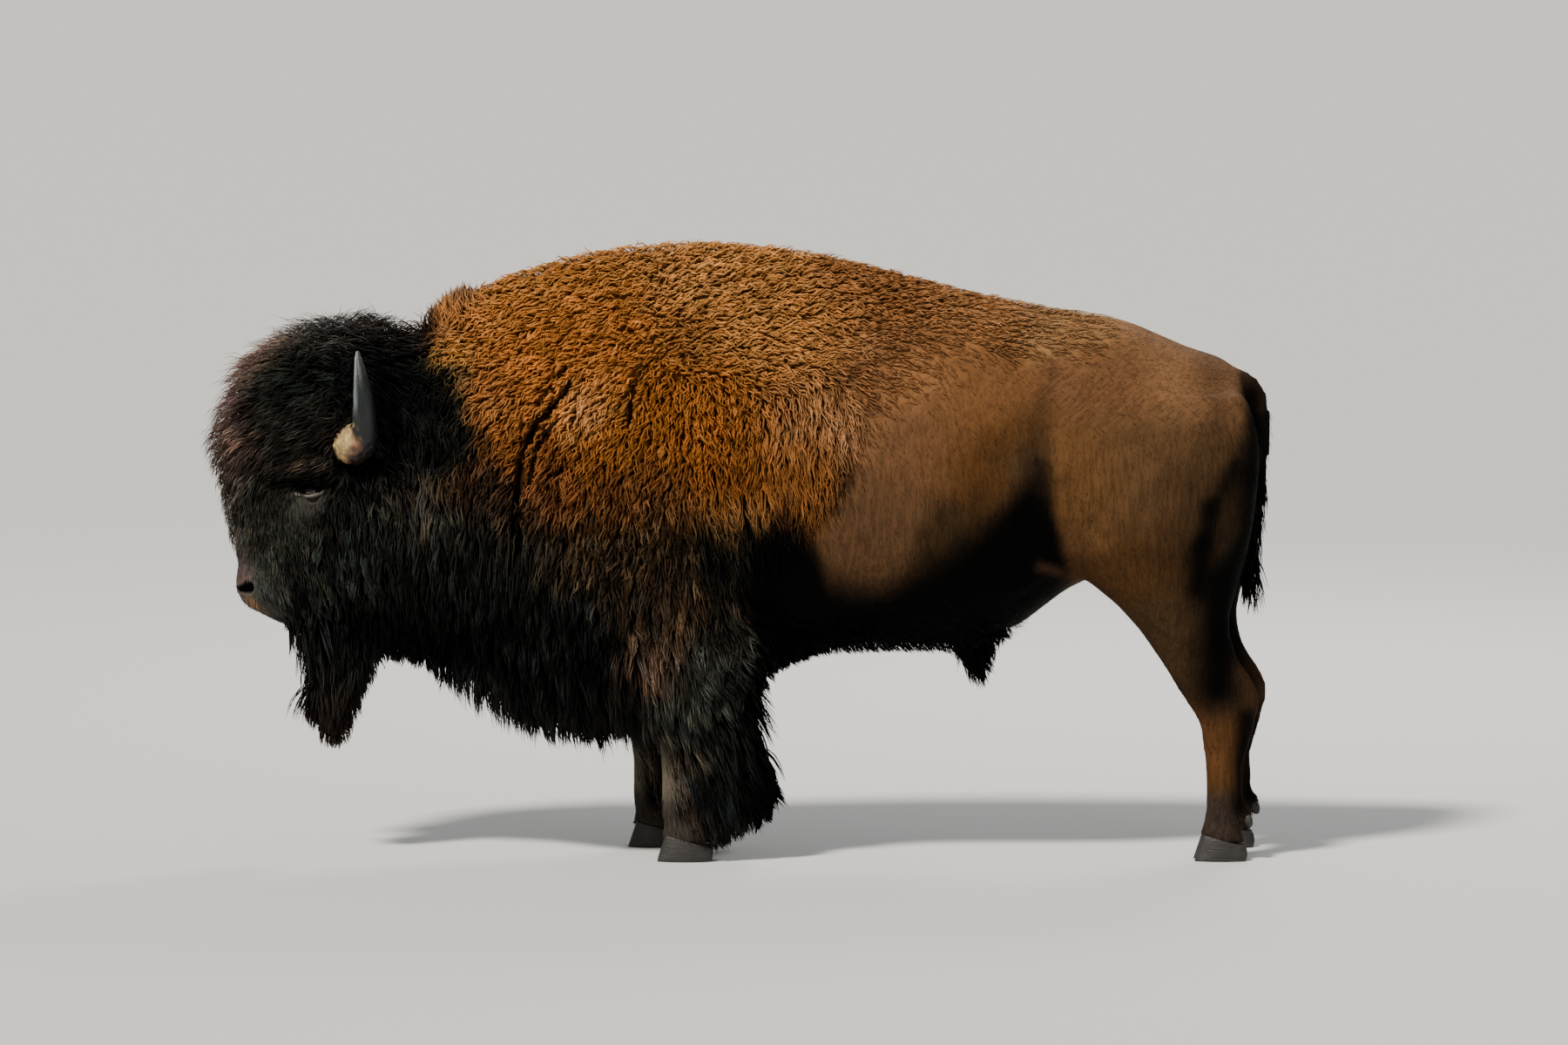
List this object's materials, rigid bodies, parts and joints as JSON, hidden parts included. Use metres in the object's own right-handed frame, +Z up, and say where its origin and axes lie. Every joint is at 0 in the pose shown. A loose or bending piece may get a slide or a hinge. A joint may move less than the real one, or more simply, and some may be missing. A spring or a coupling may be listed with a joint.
{
  "type": "american bison",
  "caption": "Life-size still model of a bull American bison standing square, with shaggy cape, mane, beard and chaps, upturned horns and cloven hooves.",
  "frame": {"origin": "on the floor under the middle of the animal, at the bottom centre of its box", "axes": "+X towards the tail with the head at -X, +Y towards the animal's right side, +Z up"},
  "size_m": [3.1003, 0.7457, 1.8001],
  "materials": {
    "coat": "short brown fur",
    "cape": "crimped tan wool",
    "mane": "long black-brown hair",
    "horn": "satin horn",
    "hoof": "matte horn",
    "eye": "wet gloss"
  },
  "bodies": {
    "root": {"head": "mane", "beard": "mane", "neck": "mane", "forequarters": "cape", "barrel": "coat", "sheath": "mane", "hindquarters": "coat", "fore_leg_left": "mane", "fore_leg_right": "mane", "hind_leg_left": "coat", "hind_leg_right": "coat", "tail": "coat", "tail_tassel": "mane", "ear_left": "mane", "ear_right": "mane", "horn_left": "horn", "horn_right": "horn", "eye_left": "eye", "eye_right": "eye", "hoof_fore_left_a": "hoof", "hoof_fore_left_b": "hoof", "hoof_fore_right_a": "hoof", "hoof_fore_right_b": "hoof", "hoof_hind_left_a": "hoof", "hoof_hind_left_b": "hoof", "hoof_hind_right_a": "hoof", "hoof_hind_right_b": "hoof", "dewclaw_hind_left_a": "hoof", "dewclaw_hind_left_b": "hoof", "dewclaw_hind_right_a": "hoof", "dewclaw_hind_right_b": "hoof"}
  },
  "joints": []
}
